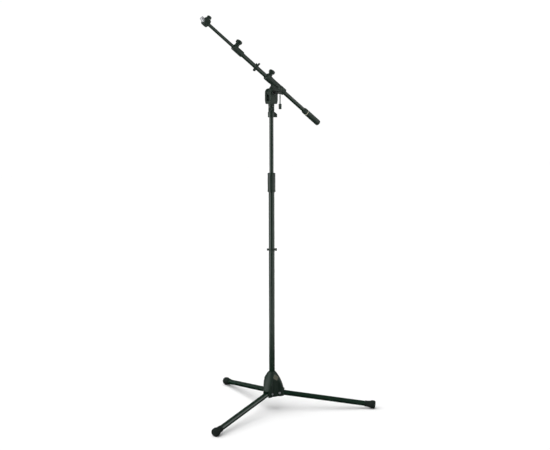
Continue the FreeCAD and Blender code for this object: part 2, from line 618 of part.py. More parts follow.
def boom():
    node(tube("boom_tube", "tube_r - tube_wall", "tube_r", "-tube_back", "tube_front", BOOM),
         "boom_tube")
    collar = turned("clamp_collar", [
        ("rod_r + gap", "tube_front"), ("rod_r + gap", "clamp_front"),
        ("clamp_r - 2.5", "clamp_front"), ("clamp_r", "clamp_front - 2.5"),
        ("clamp_r", "clamp_back + 3"), ("clamp_r - 2", "clamp_back"), ("tube_r", "clamp_back"),
        ("tube_r", "tube_front")], BOOM)
    boss = stub("clamp_boss", "boss_r", "boss_top - tube_r - 1", D["front_knob_u"],
                D["tube_r"] + 1)
    tap = stub("clamp_tap", "knob_screw_r + gap", "knob_low", D["front_knob_u"], 0)
    solid = joined("clamp_solid", [collar, boss])
    node(cut("front_clamp", solid, [tap]), "boom_front_clamp")
    knob("front_knob", D["front_knob_u"], "rod_r + gap")

    node(rod("boom_rod", "rod_r", "rod_back", "rod_front", BOOM), "boom_rod")
    node(tube("rod_guide", "rod_r", "tube_r - tube_wall - gap", "rod_back",
              "rod_back + rod_guide_len", BOOM), "boom_rod_guide")
    body = turned("tip_form", [
        ("rod_r", "tip_back"), ("tip_r - 3", "tip_back"), ("tip_r", "tip_back + 3"),
        ("tip_r", "tip_front - 1.5"), ("tip_r - 1.5", "tip_front"), ("0", "tip_front"),
        ("0", "rod_front"), ("rod_r", "rod_front")], BOOM)
    middle = (D["tip_back"] + D["tip_front"]) / 2
    lug = stub("tip_lug_form", "tip_lug_r", "tip_lug_tall", middle, D["tip_r"] - 4)
    node(joined("tip_body", [body, lug]), "tip_body")
    node(rod("tip_stud", "thread_r", "tip_front", "stud_end", BOOM), "tip_stud")

    node(turned("weight_collar", [
        ("tube_r", "-weight_ring"), ("weight_r", "-weight_ring"), ("weight_r", "-weight_ring + collar_band"),
        ("tube_r + collar_step", "-weight_collar_front"), ("tube_r", "-weight_collar_front")], BOOM),
        "weight_collar")
    node(rod("weight_ring", "weight_r - gap", "-weight_ring - ring_thick", "-weight_ring", BOOM),
         "weight_ring")
    node(turned("weight", [
        ("0", "-weight_ring - ring_thick"), ("0", "-weight_end"),
        ("weight_r - weight_edge", "-weight_end", "weight_edge"),
        ("weight_r", "-weight_end + weight_edge"), ("weight_r", "-weight_ring - ring_thick")],
        BOOM), "counterweight")


base()
label()
legs()
pole()
clips()
swivel()
holder()
boom()
doc.recompute()

# ---------------------------------------------------------------- check and write
for thing in doc.Objects:
    if "Invalid" in thing.State or "Error" in thing.State:
        raise RuntimeError("%s did not compute: %s" % (thing.Name, thing.State))
os.makedirs("parts", exist_ok=True)
for thing in NODES:
    if thing.Shape.isNull() or not thing.Shape.isValid():
        raise RuntimeError("%s has no valid shape" % thing.Label)
    thing.Shape.exportStep("parts/%s.step" % thing.Label)
    print("%-24s solids %d volume %10.1f" % (thing.Label, len(thing.Shape.Solids), thing.Shape.Volume))
print(len(NODES), "sub-parts")
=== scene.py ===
"""Looks of the boom microphone stand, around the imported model.

Lengths of the pieces made here are in millimetres, in a frame of their own: Z is the axis
that the piece is turned about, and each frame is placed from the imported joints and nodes.
"""
import json
import math

import bmesh
import bpy
from mathutils import Matrix, Vector


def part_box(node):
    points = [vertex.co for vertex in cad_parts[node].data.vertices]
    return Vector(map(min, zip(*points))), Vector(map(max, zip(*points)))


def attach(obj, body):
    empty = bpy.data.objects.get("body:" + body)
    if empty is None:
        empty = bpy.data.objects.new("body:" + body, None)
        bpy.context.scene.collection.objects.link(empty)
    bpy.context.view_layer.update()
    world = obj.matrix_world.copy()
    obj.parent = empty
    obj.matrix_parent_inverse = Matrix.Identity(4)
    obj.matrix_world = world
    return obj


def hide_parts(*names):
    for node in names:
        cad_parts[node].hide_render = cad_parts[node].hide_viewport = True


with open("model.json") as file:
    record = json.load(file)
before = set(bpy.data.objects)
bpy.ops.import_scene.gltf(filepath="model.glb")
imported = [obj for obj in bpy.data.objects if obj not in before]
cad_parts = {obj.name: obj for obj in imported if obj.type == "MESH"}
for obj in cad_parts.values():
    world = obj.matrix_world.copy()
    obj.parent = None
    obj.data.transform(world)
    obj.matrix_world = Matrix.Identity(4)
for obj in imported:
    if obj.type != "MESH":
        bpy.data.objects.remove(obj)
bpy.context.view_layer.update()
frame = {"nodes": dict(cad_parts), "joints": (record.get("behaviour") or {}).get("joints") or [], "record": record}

JOINTS = {j["name"]: j for j in frame["joints"]}
NODES = frame["nodes"]
BODY = {n: body for body, names in frame["record"]["behaviour"]["bodies"].items() for n in names}
MM = 0.001


# ---------------------------------------------------------------- places from the frame
def axes(x, y, z, at):
    """A frame from its three directions and its origin."""
    place = Matrix((x, y, z)).transposed().to_4x4()
    place.translation = at
    return place


def centre(node):
    """Middle of a node's box."""
    low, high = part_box(node)
    return (low + high) / 2


EAST, NORTH, SKY = Vector((1, 0, 0)), Vector((0, 1, 0)), Vector((0, 0, 1))
PIVOT = Vector(JOINTS["boom_tilt"]["pos_m"])
POLE = axes(EAST, NORTH, SKY, Vector((PIVOT.x, PIVOT.y, 0)))
ACROSS = axes(EAST, SKY, -NORTH, PIVOT)
OUT = Vector(JOINTS["boom_slide"]["axis"]).normalized()
UP = Vector(JOINTS["holder_knob_turn"]["axis"]).normalized()
MID = centre("boom_rod")
BOOM = axes(UP, OUT.cross(UP), OUT, MID - OUT * (MID - PIVOT).dot(OUT))
EYE = axes(EAST, NORTH, SKY, centre("clamp_bolt_eye"))
LEG_SLOPE = math.radians(7.9)
SIDES = ("right", "rear", "front")


def hinge_of(side):
    """A leg's hinge, and the level direction from the pole out to it."""
    hinge = Vector(JOINTS["leg_%s_fold" % side]["pos_m"])
    return hinge, Vector((hinge.x - PIVOT.x, hinge.y - PIVOT.y, 0)).normalized()


def leg_place(side):
    """Leg frame: origin on the hinge, Z along the leg to its foot, Y along the hinge."""
    hinge, outward = hinge_of(side)
    along = outward * math.cos(LEG_SLOPE) - SKY * math.sin(LEG_SLOPE)
    down = -outward * math.sin(LEG_SLOPE) - SKY * math.cos(LEG_SLOPE)
    return axes(down, along.cross(down), along, hinge)


def hinge_place(side):
    """Hinge frame: Z runs across the leg, toward the screw's head."""
    hinge, outward = hinge_of(side)
    return axes(outward, SKY, outward.cross(SKY), hinge)


def upright(station):
    """Frame standing on the boom's axis at a station, its Z square to the boom."""
    at = BOOM.translation + OUT * station * MM
    return axes(-OUT, OUT.cross(UP), UP, at)


# ---------------------------------------------------------------- camera, light, floor
IMAGE_WIDE = 550
VIEW_TURN = math.radians(-33.0)
CAMERA_BACK = 3.832
CAMERA_RIGHT = 0.0130
CAMERA_HIGH = 1.163
CAMERA_DIP = math.radians(6.54)
CAMERA_ROLL = math.radians(0.12)
FOCAL_PIXELS = 1004.0
SENSOR = 36.0
NEAREST, FARTHEST = 0.05, 60.0
RIGHT = Vector((math.cos(VIEW_TURN), math.sin(VIEW_TURN), 0))
AWAY = Vector((-math.sin(VIEW_TURN), math.cos(VIEW_TURN), 0))

# Lamps and cards stand at (right, away, up) from the foot of the pole, in metres, as the camera
# sees them.
AIM_HIGH = 0.75
SOFTBOXES = (            # name, place, size, watts
    ("softbox_left", (-2.2, -1.2, 1.3), (1.9, 2.8), 36),
    ("softbox_high", (-1.9, -0.5, 2.9), (1.5, 1.5), 12),
    ("softbox_right", (2.6, 0.5, 1.3), (1.2, 2.6), 15),
)
SUN_STRENGTH = 3.02
SUN_SPREAD = math.radians(100)
SUN_LEFT, SUN_FRONT = 0.45, 0.2
SKY_FALL = {"From Min": 0.12, "From Max": 0.45, "To Min": 1.015, "To Max": 0.16}
FRONT_CARD_AT, FRONT_CARD_SIZE = (-0.42, -2.4, 1.5), (2.2, 3.4)
BACK_CARD_AT, BACK_CARD_SIZE = (0.0, 1.8, 1.8), (9.0, 3.6)
LOW_CARD_HIGH = 0.0005
DARK, DIM = 0.01, 0.15
CARD_ROUGH = 1.0
FLOOR_HALF, FLOOR_SHADE, FLOOR_ROUGH = 14, 0.96, 0.9


def stand_at(at):
    """World place of a spot given as (right, away, up) from the foot of the pole."""
    return POLE.translation + RIGHT * at[0] + AWAY * at[1] + SKY * at[2]


def camera():
    """The camera at the photograph's viewing angle."""
    data = bpy.data.cameras.new("camera")
    data.sensor_width = SENSOR
    data.lens = FOCAL_PIXELS * SENSOR / IMAGE_WIDE
    data.clip_start = NEAREST
    data.clip_end = FARTHEST
    cam = bpy.data.objects.new("camera", data)
    bpy.context.scene.collection.objects.link(cam)
    look = AWAY * math.cos(CAMERA_DIP) - SKY * math.sin(CAMERA_DIP)
    turn = Matrix((RIGHT, RIGHT.cross(look), -look)).transposed()
    at = POLE.translation + RIGHT * CAMERA_RIGHT - AWAY * CAMERA_BACK + SKY * CAMERA_HIGH
    roll = Matrix.Rotation(CAMERA_ROLL, 3, look)
    cam.matrix_world = Matrix.Translation(at) @ (roll @ turn).to_4x4()
    bpy.context.scene.camera = cam


def softbox(name, at, size, watts):
    """An area light that faces the middle of the stand and only shows as a highlight."""
    data = bpy.data.lights.new(name, "AREA")
    data.shape = "RECTANGLE"
    data.size, data.size_y = size
    data.energy = watts
    lamp = bpy.data.objects.new(name, data)
    bpy.context.scene.collection.objects.link(lamp)
    lamp.visible_diffuse = False
    target = POLE.translation + SKY * AIM_HIGH
    spot = stand_at(at)
    lamp.matrix_world = Matrix.Translation(spot) @ (spot - target).to_track_quat(
        "Z", "Y").to_matrix().to_4x4()


def studio():
    """Pale all round at eye level, darker overhead, with a wide soft light from above.

    The softboxes give only highlights, and the light from above gives none.
    """
    space = bpy.data.worlds.new("studio")
    space.use_nodes = True
    tree = space.node_tree
    back = tree.nodes["Background"]
    back.inputs["Color"].default_value = (1, 1, 1, 1)
    split = tree.nodes.new("ShaderNodeSeparateXYZ")
    fall = tree.nodes.new("ShaderNodeMapRange")
    for socket, value in SKY_FALL.items():
        fall.inputs[socket].default_value = value
    source = tree.nodes.new("ShaderNodeTexCoord").outputs["Generated"]
    tree.links.new(source, split.inputs["Vector"])
    tree.links.new(split.outputs["Z"], fall.inputs["Value"])
    tree.links.new(fall.outputs["Result"], back.inputs["Strength"])
    bpy.context.scene.world = space
    bpy.context.scene.view_settings.view_transform = "Standard"
    for name, at, size, watts in SOFTBOXES:
        softbox(name, at, size, watts)
    data = bpy.data.lights.new("overhead", "SUN")
    data.energy = SUN_STRENGTH
    data.angle = SUN_SPREAD
    lamp = bpy.data.objects.new("overhead", data)
    bpy.context.scene.collection.objects.link(lamp)
    lamp.visible_glossy = False
    toward = SKY - RIGHT * SUN_LEFT - AWAY * SUN_FRONT
    lamp.matrix_world = toward.to_track_quat("Z", "Y").to_matrix().to_4x4()


def matt_sheet(name, half, coat, shade, rough):
    """A flat square of one matt shade, about the origin."""
    mesh = bpy.data.meshes.new(name)
    form = bmesh.new()
    bmesh.ops.create_grid(form, x_segments=1, y_segments=1, size=half)
    form.to_mesh(mesh)
    form.free()
    thing = bpy.data.objects.new(name, mesh)
    bpy.context.scene.collection.objects.link(thing)
    mat = bpy.data.materials.new(coat)
    mat.use_nodes = True
    shader = mat.node_tree.nodes["Principled BSDF"]
    shader.inputs["Base Color"].default_value = (shade, shade, shade, 1)
    shader.inputs["Roughness"].default_value = rough
    shader.inputs["Specular IOR Level"].default_value = 0.0
    mesh.materials.append(mat)
    return thing


def card(name, place, shade):
    """A card of two units' side, which only reflections see."""
    thing = matt_sheet(name, 1, name, shade, CARD_ROUGH)
    thing.matrix_world = place
    thing.visible_camera = False
    thing.visible_diffuse = False
    thing.visible_shadow = False


def upright_card(name, at, size, shade):
    """A card of a width and height that faces the camera's side."""
    wide, tall = size
    card(name, axes(RIGHT * wide / 2, SKY * tall / 2, -AWAY, stand_at(at)), shade)


def dark_cards():
    """A dark stripe down the tubes, dark rims at their sides and a dark floor's reflection.

    The cards in front and behind stand where the photograph's viewing angle needs them.
    """
    upright_card("card_front", FRONT_CARD_AT, FRONT_CARD_SIZE, DARK)
    card("card_low", axes(EAST, NORTH, SKY, stand_at((0, 0, LOW_CARD_HIGH))), DARK)
    upright_card("card_back", BACK_CARD_AT, BACK_CARD_SIZE, DIM)


def floor():
    """The plain pale floor."""
    ground = matt_sheet("floor", FLOOR_HALF, "pale_floor", FLOOR_SHADE, FLOOR_ROUGH)


# ---------------------------------------------------------------- materials
class Paint:
    """A node material, built up step by step."""

    def __init__(self, name, rough, metal=0.0, specular=0.5):
        self.mat = bpy.data.materials.new(name)
        self.mat.use_nodes = True
        self.tree = self.mat.node_tree
        self.shader = self.tree.nodes["Principled BSDF"]
        self.shader.inputs["Roughness"].default_value = rough
        self.shader.inputs["Metallic"].default_value = metal
        self.shader.inputs["Specular IOR Level"].default_value = specular
        self.coords = self.add("ShaderNodeTexCoord").outputs["Object"]
        self.relief = None

    def add(self, kind):
        return self.tree.nodes.new(kind)

    def link(self, source, target):
        self.tree.links.new(source, target)

    def noise(self, scale, detail, stretch=(1, 1, 1), rough=0.55):
        """Fractal noise; its size is in metres, divided by scale."""
        place = self.add("ShaderNodeMapping")
        place.inputs["Scale"].default_value = [scale * s for s in stretch]
        self.link(self.coords, place.inputs["Vector"])
        node = self.add("ShaderNodeTexNoise")
        node.inputs["Scale"].default_value = 1.0
        node.inputs["Detail"].default_value = detail
        node.inputs["Roughness"].default_value = rough
        self.link(place.outputs["Vector"], node.inputs["Vector"])
        return node.outputs["Fac"]

    def cells(self, scale):
        """Distance to the nearest of many scattered points."""
        node = self.add("ShaderNodeTexVoronoi")
        node.inputs["Scale"].default_value = scale
        self.link(self.coords, node.inputs["Vector"])
        return node.outputs["Distance"]

    def ramp(self, source, low, high, first, last):
        """Values or colours between two stops of a source."""
        node = self.add("ShaderNodeMapRange")
        node.inputs["From Min"].default_value = low
        node.inputs["From Max"].default_value = high
        node.inputs["To Min"].default_value = first
        node.inputs["To Max"].default_value = last
        self.link(source, node.inputs["Value"])
        return node.outputs["Result"]

    def blend(self, source, first, last):
        """Mix of two colours, each a colour or another node's output."""
        node = self.add("ShaderNodeMix")
        node.data_type = "RGBA"
        for socket, value in zip((node.inputs[6], node.inputs[7]), (first, last)):
            if isinstance(value, tuple):
                socket.default_value = (*value, 1)
            else:
                self.link(value, socket)
        self.link(source, node.inputs["Factor"])
        return node.outputs[2]

    def edges(self, low=0.52, high=0.60):
        """Near 1 on sharp outer edges of a dense mesh."""
        return self.ramp(self.add("ShaderNodeNewGeometry").outputs["Pointiness"], low, high, 0, 1)

    def colour(self, source):
        self.link(source, self.shader.inputs["Base Color"])

    def gloss(self, source):
        self.link(source, self.shader.inputs["Roughness"])

    def bump(self, source, depth, strength):
        """Relief of a depth in metres, on top of any relief given before."""
        node = self.add("ShaderNodeBump")
        node.inputs["Strength"].default_value = strength
        node.inputs["Distance"].default_value = depth
        self.link(source, node.inputs["Height"])
        if self.relief is not None:
            self.link(self.relief, node.inputs["Normal"])
        self.relief = node.outputs["Normal"]
        self.link(self.relief, self.shader.inputs["Normal"])


def casting_paint():
    """Textured powder coat: orange peel, fine grains, and a rub of grey on the edges."""
    paint = Paint("powder_coat", 0.46, specular=0.40)
    blotch = paint.ramp(paint.noise(45, 3), 0.35, 0.65, 0, 1)
    body = paint.blend(blotch, (0.0022, 0.0132, 0.0066), (0.0048, 0.0172, 0.0098))
    grain = paint.ramp(paint.noise(2600, 2), 0.60, 0.74, 0, 0.55)
    flecked = paint.blend(grain, body, (0.022, 0.034, 0.027))
    worn = paint.blend(paint.edges(), flecked, (0.030, 0.042, 0.035))
    paint.colour(worn)
    paint.gloss(paint.ramp(paint.noise(900, 3), 0.3, 0.7, 0.40, 0.54))
    paint.bump(paint.noise(520, 3), 0.00006, 0.4)
    paint.bump(paint.noise(2300, 2), 0.00002, 0.4)
    return paint.mat


def tube_paint():
    """Smooth powder coat drawn along the tubes, with faint orange peel and handling marks."""
    paint = Paint("tube_coat", 0.36, specular=0.5)
    blotch = paint.ramp(paint.noise(22, 4), 0.35, 0.65, 0, 1)
    body = paint.blend(blotch, (0.0018, 0.0135, 0.0062), (0.0038, 0.0172, 0.0090))
    rub = paint.ramp(paint.noise(150, 5, rough=0.7), 0.64, 0.80, 0, 0.3)
    paint.colour(paint.blend(rub, body, (0.016, 0.025, 0.020)))
    paint.gloss(paint.ramp(paint.noise(70, 5), 0.3, 0.7, 0.20, 0.29))
    paint.bump(paint.noise(420, 2), 0.00004, 0.25)
    paint.bump(paint.noise(1900, 2), 0.000012, 0.3)
    return paint.mat


def nylon(name, dark, light):
    """Moulded nylon with a spark-eroded grain, paler where fingers have worn its edges."""
    paint = Paint(name, 0.5, specular=0.42)
    blotch = paint.ramp(paint.noise(80, 3), 0.35, 0.65, 0, 1)
    body = paint.blend(blotch, dark, light)
    paint.colour(paint.blend(paint.edges(0.53, 0.64), body, tuple(2.6 * c for c in light)))
    paint.gloss(paint.ramp(paint.noise(600, 3), 0.3, 0.7, 0.24, 0.38))
    paint.bump(paint.cells(2600), 0.00004, 0.5)
    paint.bump(paint.noise(1200, 2), 0.00003, 0.4)
    return paint.mat


def rubber():
    """Matt rubber with a bloom of pale dust and fine pits."""
    paint = Paint("foot_rubber", 0.78, specular=0.30)
    dust = paint.ramp(paint.noise(120, 6, rough=0.7), 0.52, 0.74, 0, 0.6)
    body = paint.blend(dust, (0.0048, 0.0100, 0.0072), (0.014, 0.021, 0.017))
    paint.colour(paint.blend(paint.edges(0.54, 0.66), body, (0.024, 0.027, 0.025)))
    paint.gloss(paint.ramp(paint.noise(400, 4), 0.3, 0.7, 0.66, 0.86))
    paint.bump(paint.noise(1500, 4), 0.00005, 0.6)
    return paint.mat


def plated(name, dark, light, rough, stretch):
    """Plated steel, with fine lines left by the tool that turned it."""
    paint = Paint(name, rough, metal=1.0)
    cloud = paint.ramp(paint.noise(160, 4), 0.35, 0.65, 0, 1)
    lines = paint.noise(900, 3, stretch=stretch)
    paint.colour(paint.blend(cloud, dark, light))
    paint.gloss(paint.ramp(lines, 0.3, 0.7, rough * 0.8, rough * 1.35))
    paint.bump(lines, 0.00001, 0.35)
    return paint.mat


def film():
    """Satin metallic film, paler toward its edges."""
    paint = Paint("label_film", 0.42, metal=0.25, specular=0.4)
    cloud = paint.ramp(paint.noise(130, 5), 0.35, 0.7, 0, 1)
    body = paint.blend(cloud, (0.078, 0.080, 0.054), (0.108, 0.108, 0.076))
    paint.colour(paint.blend(paint.edges(), body, (0.16, 0.158, 0.115)))
    paint.gloss(paint.ramp(paint.noise(500, 3), 0.3, 0.7, 0.36, 0.5))
    paint.bump(paint.noise(1400, 2), 0.000012, 0.4)
    return paint.mat


MATERIALS = {
    "casting": casting_paint(),
    "tube": tube_paint(),
    "plastic": nylon("black_nylon", (0.0022, 0.0125, 0.0066), (0.0045, 0.0160, 0.0090)),
    "rubber": rubber(),
    "zinc": plated("zinc_plate", (0.62, 0.63, 0.65), (0.72, 0.73, 0.75), 0.52, (1, 1, 8)),
    "chrome": plated("chrome_plate", (0.20, 0.215, 0.21), (0.25, 0.265, 0.26), 0.38, (6, 6, 1)),
    "black_steel": plated("black_oxide", (0.030, 0.036, 0.033), (0.060, 0.066, 0.062), 0.34,
                          (1, 1, 8)),
    "label": film(),
    "ring": nylon("ivory_nylon", (0.36, 0.355, 0.28), (0.43, 0.42, 0.335)),
}


# Edges sharper than these angles, in degrees, stay sharp in the shading.
CREASE, HARD_CREASE, NODE_CREASE, THREAD_CREASE = 40.0, 25.0, 30.0, 70.0
CORNER_STEPS = 5
ON_AXIS = 1e-6


def finish(thing, slot, crease=CREASE):
    """Give a piece the material of its slot and smooth shading up to an angle."""
    mesh = thing.data
    mesh.materials.clear()
    mesh.materials.append(MATERIALS[slot])
    mesh.shade_smooth()
    mesh.set_sharp_from_angle(angle=math.radians(crease))
    return thing


# ---------------------------------------------------------------- turned pieces
def rounded(points):
    """A profile with its corners rounded; a point is (radius, height) or (.., .., reach)."""
    out = []
    for i, point in enumerate(points):
        here = Vector(point[:2])
        if len(point) == 2:
            out.append(here)
            continue
        before = here + (Vector(points[i - 1][:2]) - here).normalized() * point[2]
        after = here + (Vector(points[(i + 1) % len(points)][:2]) - here).normalized() * point[2]
        for k in range(CORNER_STEPS + 1):
            t = k / CORNER_STEPS
            out.append(before * (1 - t) ** 2 + here * 2 * t * (1 - t) + after * t * t)
    return out


def fine(points, step):
    """A profile with points added, so that none of its runs is longer than a step."""
    out = [points[0]]
    for a, b in zip(points, points[1:]):
        parts = max(1, math.ceil((b - a).length / step))
        out += [a.lerp(b, (k + 1) / parts) for k in range(parts)]
    return out


def turn(form, profile, around, shape=None, ring=False, place=Matrix()):
    """Add a body of revolution to a mesh; shape(angle, radius, height) changes the radius."""
    rows = []
    for radius, height in profile:
        if radius < ON_AXIS:
            rows.append([form.verts.new(place @ Vector((0, 0, height * MM)))])
            continue
        row = []
        for k in range(around):
            angle = math.tau * k / around
            reach = (shape(angle, radius, height) if shape else radius) * MM
            spot = Vector((reach * math.cos(angle), reach * math.sin(angle), height * MM))
            row.append(form.verts.new(place @ spot))
        rows.append(row)
    ends = rows[1:] + rows[:1] if ring else rows[1:]
    for low, high in zip(rows, ends):
        for k in range(around):
            n = k + 1
            corners = [low[k % len(low)], low[n % len(low)],
                       high[n % len(high)], high[k % len(high)]]
            unique = [c for i, c in enumerate(corners) if c not in corners[:i]]
            if len(unique) > 2:
                form.faces.new(unique)


def piece(name, place, form, slot, nodes, crease=CREASE):
    """Make a mesh into a piece that stands for CAD nodes and rides on their body."""
    bmesh.ops.recalc_face_normals(form, faces=form.faces)
    mesh = bpy.data.meshes.new(name)
    form.to_mesh(mesh)
    form.free()
    thing = bpy.data.objects.new(name, mesh)
    bpy.context.scene.collection.objects.link(thing)
    thing.matrix_world = place
    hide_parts(*nodes)
    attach(thing, BODY[nodes[0]])
    return finish(thing, slot, crease)


def lathe(name, place, profile, slot, node, around=96, shape=None, ring=False, crease=CREASE):
    """Turn a profile into a piece."""
    form = bmesh.new()
    turn(form, profile, around, shape, ring)
    return piece(name, place, form, slot, [node], crease)


def flutes(count, depth, low, high, fade, least):
    """Lengthwise hollows between two heights, on the part outside a least radius."""
    def shape(angle, radius, height):
        if radius < least:
            return radius
        edge = min(height - low, high - height)
        share = max(0.0, min(1.0, edge / fade))
        wave = 0.5 - 0.5 * math.cos(count * angle)
        return radius - depth * share * wave ** 1.5
    return shape


KNURL_FADE = 0.6


def knurl(count, depth, low, high, least):
    """Sharp straight ridges between two heights, on the part outside a least radius."""
    def shape(angle, radius, height):
        if radius < least or not low <= height <= high:
            return radius
        share = min(1.0, (height - low) / KNURL_FADE, (high - height) / KNURL_FADE)
        at = count * angle / math.tau
        return radius - depth * share * abs((at % 1.0) * 2 - 1)
    return shape


def thread(pitch, depth, low, high, radius):
    """A screw thread between two heights, on the part at a radius."""
    def shape(angle, reach, height):
        if not low <= height <= high or reach < radius - 1.6 * depth:
            return reach
        phase = (height / pitch - angle / math.tau) % 1.0
        groove = abs(phase * 2 - 1)
        return min(reach, radius - depth * groove)
    return shape


def hexagon(flat, inner=0.0):
    """Six flats at a distance from the axis, on the part outside an inner radius."""
    def shape(angle, radius, height):
        if radius < inner:
            return radius
        turn_to = (angle + math.pi / 6) % (math.pi / 3) - math.pi / 6
        return min(radius, flat / math.cos(turn_to))
    return shape


# ---------------------------------------------------------------- the pieces
def knobs():
    """Round clamp knobs: a neck, a fluted rim and a dished top with a small cap."""
    profile = fine(rounded([
        (0, 21.5), (8.4, 21.5, 0.5), (8.4, 23.4, 0.8), (12.3, 24.8, 0.7),
        (12.3, 32.2, 1.4), (9.8, 33.7, 0.6), (8.5, 33.0, 0.5), (6.0, 33.0, 0.4),
        (5.5, 33.6, 0.3), (0, 33.65)]), 0.8)
    rim = flutes(count=24, depth=0.5, low=24.8, high=33.3, fade=1.4, least=9.8)
    for name in ("holder_knob", "front_knob"):
        station = (centre(name) - BOOM.translation).dot(OUT) / MM
        lathe(name + "_moulded", upright(station), profile, "plastic", name, 192, rim)


def tip():
    """Microphone end: a knurled head with its cap lug, and the threaded stud."""
    form = bmesh.new()
    profile = fine(rounded([
        (0, 361), (12.8, 361, 1.0), (15.6, 363.4, 0.9), (15.6, 367.0, 0.4), (14.9, 367.6, 0.3),
        (14.9, 368.4, 0.3), (15.8, 369.0, 0.4), (15.8, 381.4, 0.7), (14.2, 384.0, 0.6),
        (9.4, 384.0, 0.4), (8.8, 383.4, 0.3), (0, 383.4)]), 0.7)
    turn(form, profile, 288, knurl(count=72, depth=0.45, low=369.4, high=381.0, least=14.5))
    middle = (361 + 384) / 2
    lug = Matrix.Translation((0, 0, middle * MM)) @ Matrix.Rotation(math.pi / 2, 4, "Y")
    turn(form, rounded([
        (0, 10), (9.0, 10), (9.0, 17.4, 0.4), (8.3, 18.0, 0.3), (8.3, 18.8, 0.3),
        (9.0, 19.4, 0.4), (9.0, 24.6, 1.0), (6.8, 25.8, 0.6), (5.8, 25.3, 0.3), (0, 25.3)]),
        96, flutes(count=12, depth=0.5, low=19.2, high=25.6, fade=0.8, least=8.0), place=lug)
    piece("tip_body_turned", BOOM, form, "casting", ["tip_body"])
    profile = fine(rounded([
        (0, 383), (7.9, 383), (7.9, 396.3), (6.9, 397.5, 0.2), (4.2, 397.5, 0.3),
        (3.4, 396.3, 0.3), (0, 396.0)]), 0.16)
    stud_thread = thread(pitch=0.941, depth=0.3, low=384.2, high=397.6, radius=7.9)
    lathe("tip_stud_threaded", BOOM, profile, "zinc", "tip_stud", 72, stud_thread,
          crease=THREAD_CREASE)


def feet():
    """Rubber feet: a ribbed neck, a flared bell and a dished end face, flat on the floor."""
    profile = fine(rounded([
        (9.9, 337), (11.8, 337, 0.5), (11.9, 340.4, 0.3), (11.2, 341.0, 0.3),
        (11.2, 342.2, 0.3), (12.0, 342.8, 0.3), (12.1, 345.6, 0.3), (11.4, 346.2, 0.3),
        (11.4, 347.4, 0.3), (12.2, 348.0, 0.3), (12.6, 355.5, 3.0), (15.9, 362.5, 2.6),
        (15.9, 372.3, 0.2), (15.55, 374.4, 0.2), (14.6, 376.0, 0.2), (13.0, 377.1, 0.2),
        (10.9, 377.5, 0.5), (10.2, 376.9, 0.4), (9.4, 376.9, 0.3), (8.8, 377.3, 0.3),
        (0, 377.3), (0, 370.2), (9.9, 370.2)]), 1.2)
    for side in SIDES:
        place = leg_place(side)
        form = bmesh.new()
        turn(form, profile, 96, ring=True)
        for vert in form.verts:
            world = place @ vert.co
            if world.z < 0:
                vert.co = place.inverted() @ Vector((world.x, world.y, 0))
        piece("leg_%s_foot_moulded" % side, place, form, "rubber", ["leg_%s_foot" % side])


def clutch():
    """Grip of the height clutch: a fluted barrel between two flared ends; and the lock nut."""
    profile = fine(rounded([
        (11.5, 851.0), (14.8, 851.0, 0.5), (15.4, 852.0, 0.6), (15.4, 857.4, 0.9),
        (14.8, 860.0, 1.0), (15.0, 887.5, 8.0), (14.8, 915.6, 1.0), (14.9, 918.4, 0.8),
        (14.9, 922.2, 0.7), (13.4, 924.0, 0.7), (8.7, 924.0, 0.3), (8.7, 910.0),
        (10.4, 910.0), (12.8, 886.0), (12.8, 855.0), (11.5, 855.0)]), 1.0)
    lathe("clutch_grip_moulded", POLE, profile, "plastic", "clutch_grip", 288,
          flutes(count=12, depth=0.35, low=859.0, high=917.0, fade=3.0, least=14.4), ring=True)
    profile = fine(rounded([
        (4.9, 1155.0), (10.3, 1155.0, 0.3), (11.5, 1156.2, 0.4), (11.5, 1158.6, 0.3),
        (10.7, 1159.2, 0.2), (10.7, 1160.0, 0.2), (11.5, 1160.6, 0.3), (11.5, 1169.4, 0.3),
        (10.7, 1170.0, 0.2), (10.7, 1170.8, 0.2), (11.5, 1171.4, 0.3), (11.5, 1173.2, 0.4),
        (10.5, 1174.7, 0.3), (4.9, 1174.7)]), 0.6)
    lathe("swivel_lock_nut_knurled", POLE, profile, "casting", "swivel_lock_nut", 240,
          knurl(count=60, depth=0.4, low=1160.8, high=1169.2, least=11.1), ring=True)


SOCKET_FLAT, SOCKET_REACH, SOCKET_LOW = 1.75, 2.05, 19.0


def hinge_screw_shape(angle, radius, height):
    """A hexagon socket in the head, and a thread at the other end."""
    if height > SOCKET_LOW and radius <= SOCKET_REACH:
        return hexagon(SOCKET_FLAT)(angle, radius, height)
    end_thread = thread(pitch=0.8, depth=0.3, low=-21.8, high=-18.4, radius=3.0)
    return end_thread(angle, radius, height)


def hinge_hardware():
    """Leg pivots: a pan head with a hexagon socket, and a hexagon nut on the thread."""
    screw = fine(rounded([
        (0, 19.2), (2.0, 19.2), (2.0, 20.6, 0.15), (3.1, 20.8, 0.6), (4.6, 19.6, 0.7),
        (4.6, 18.2, 0.15), (3.0, 18.2), (3.0, -21.4), (2.5, -21.8, 0.2), (0, -21.8)]), 0.35)
    nut = fine(rounded([
        (3.0, -18.2), (3.9, -18.2, 0.1), (4.6, -18.7, 0.2), (4.6, -21.0, 0.2),
        (3.9, -21.5, 0.1), (3.0, -21.5)]), 0.4)
    for side in SIDES:
        place = hinge_place(side)
        lathe("leg_%s_hinge_screw_turned" % side, place, screw, "zinc",
              "leg_%s_hinge_screw" % side, 48, hinge_screw_shape)
        lathe("leg_%s_hinge_nut_hex" % side, place, nut, "zinc", "leg_%s_hinge_nut" % side, 72,
              hexagon(4.1, 3.3), ring=True, crease=HARD_CREASE)


EYE_R = 6.0
BAR_LEN, BAR_CAP_LEN, BAR_CAP_GAP = 88.6, 20.0, 0.3


